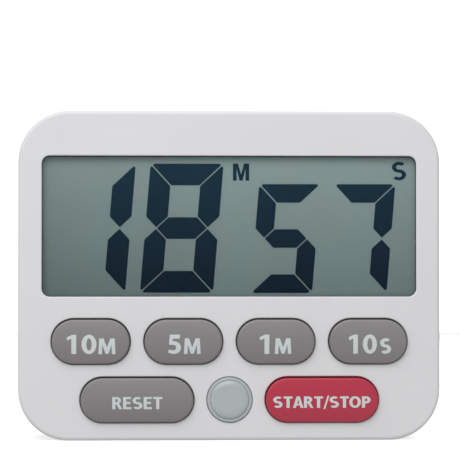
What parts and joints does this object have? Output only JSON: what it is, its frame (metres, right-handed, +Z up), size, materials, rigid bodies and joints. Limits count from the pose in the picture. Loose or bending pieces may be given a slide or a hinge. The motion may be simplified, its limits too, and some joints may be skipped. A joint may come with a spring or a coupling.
{
  "type": "lab timer",
  "caption": "Bench timer with a wide digit display over rows of push keys, a fold-out stand, magnets and a sliding battery door.",
  "frame": {"origin": "middle of the case's footprint, on the surface the timer stands on", "axes": "+X across the face to the right, +Z up, and the face looks along -Y"},
  "size_m": [0.095, 0.0252, 0.0742],
  "materials": {
    "case": "fine matt moulded",
    "window": "clear",
    "lens": "smoky translucent",
    "steel": "bright",
    "magnet": "nickel plated",
    "polariser": "grey-green film",
    "lcd_glass": "clear",
    "reflector": "silvery film",
    "holder": "moulded",
    "rubber_dark": "matt",
    "board": "solder mask",
    "resin": "moulded resin",
    "tin": "plated",
    "led": "clear tinted",
    "brass": "satin",
    "ceramic": "silvered ceramic",
    "cell": "printed sleeve",
    "silicone": "matt",
    "key_grey": "matt moulded",
    "key_red": "matt moulded"
  },
  "bodies": {
    "case": {"front_case": "case", "rear_case": "case", "display_window": "window", "lamp_lens": "lens", "case_screws": "steel", "board_screws": "steel", "magnets": "magnet", "lcd_front_polariser": "polariser", "lcd_front_glass": "lcd_glass", "lcd_rear_glass": "lcd_glass", "lcd_reflector": "reflector", "display_holder": "holder", "zebra_strip": "rubber_dark", "circuit_board": "board", "controller_chip": "resin", "clock_crystal": "tin", "surface_mount_parts": "resin", "alarm_led": "led", "buzzer_plate": "brass", "buzzer_ceramic": "ceramic", "buzzer_springs": "steel", "mode_switch_body": "tin", "battery_cells": "cell", "battery_caps": "tin", "battery_springs": "tin", "link_contact": "tin", "positive_contact": "tin", "negative_contact": "tin", "keypad_mat": "silicone", "ten_minute_dome": "silicone", "five_minute_dome": "silicone", "one_minute_dome": "silicone", "ten_second_dome": "silicone", "reset_dome": "silicone", "start_stop_dome": "silicone"},
    "stand": {"stand": "case"},
    "battery_door": {"battery_door": "case"},
    "mode_knob": {"mode_knob": "key_grey", "mode_switch_lever": "resin"},
    "ten_minute_key": {"ten_minute_key": "key_grey", "ten_minute_plunger": "silicone", "ten_minute_contact": "rubber_dark"},
    "five_minute_key": {"five_minute_key": "key_grey", "five_minute_plunger": "silicone", "five_minute_contact": "rubber_dark"},
    "one_minute_key": {"one_minute_key": "key_grey", "one_minute_plunger": "silicone", "one_minute_contact": "rubber_dark"},
    "ten_second_key": {"ten_second_key": "key_grey", "ten_second_plunger": "silicone", "ten_second_contact": "rubber_dark"},
    "reset_key": {"reset_key": "key_grey", "reset_plunger": "silicone", "reset_contact": "rubber_dark"},
    "start_stop_key": {"start_stop_key": "key_red", "start_stop_plunger": "silicone", "start_stop_contact": "rubber_dark"}
  },
  "joints": [
    {"name": "ten_minute_press", "type": "slide", "parent": "case", "child": "ten_minute_key", "axis": [0, 1, 0], "range_m": [0, 0.0009], "stiffness_N_per_m": 800, "deforming": ["ten_minute_dome"]},
    {"name": "five_minute_press", "type": "slide", "parent": "case", "child": "five_minute_key", "axis": [0, 1, 0], "range_m": [0, 0.0009], "stiffness_N_per_m": 800, "deforming": ["five_minute_dome"]},
    {"name": "one_minute_press", "type": "slide", "parent": "case", "child": "one_minute_key", "axis": [0, 1, 0], "range_m": [0, 0.0009], "stiffness_N_per_m": 800, "deforming": ["one_minute_dome"]},
    {"name": "ten_second_press", "type": "slide", "parent": "case", "child": "ten_second_key", "axis": [0, 1, 0], "range_m": [0, 0.0009], "stiffness_N_per_m": 800, "deforming": ["ten_second_dome"]},
    {"name": "reset_press", "type": "slide", "parent": "case", "child": "reset_key", "axis": [0, 1, 0], "range_m": [0, 0.0009], "stiffness_N_per_m": 800, "deforming": ["reset_dome"]},
    {"name": "start_stop_press", "type": "slide", "parent": "case", "child": "start_stop_key", "axis": [0, 1, 0], "range_m": [0, 0.0009], "stiffness_N_per_m": 800, "deforming": ["start_stop_dome"]},
    {"name": "stand_hinge", "type": "hinge", "parent": "case", "child": "stand", "pos_m": [0, 0.0111, 0.0348], "axis": [1, 0, 0], "range_deg": [0, 55]},
    {"name": "battery_door_slide", "type": "slide", "parent": "case", "child": "battery_door", "axis": [0, 0, 1], "range_m": [0, 0.034]},
    {"name": "mode_knob_slide", "type": "slide", "parent": "case", "child": "mode_knob", "axis": [0, 0, 1], "range_m": [0, 0.004]}
  ]
}
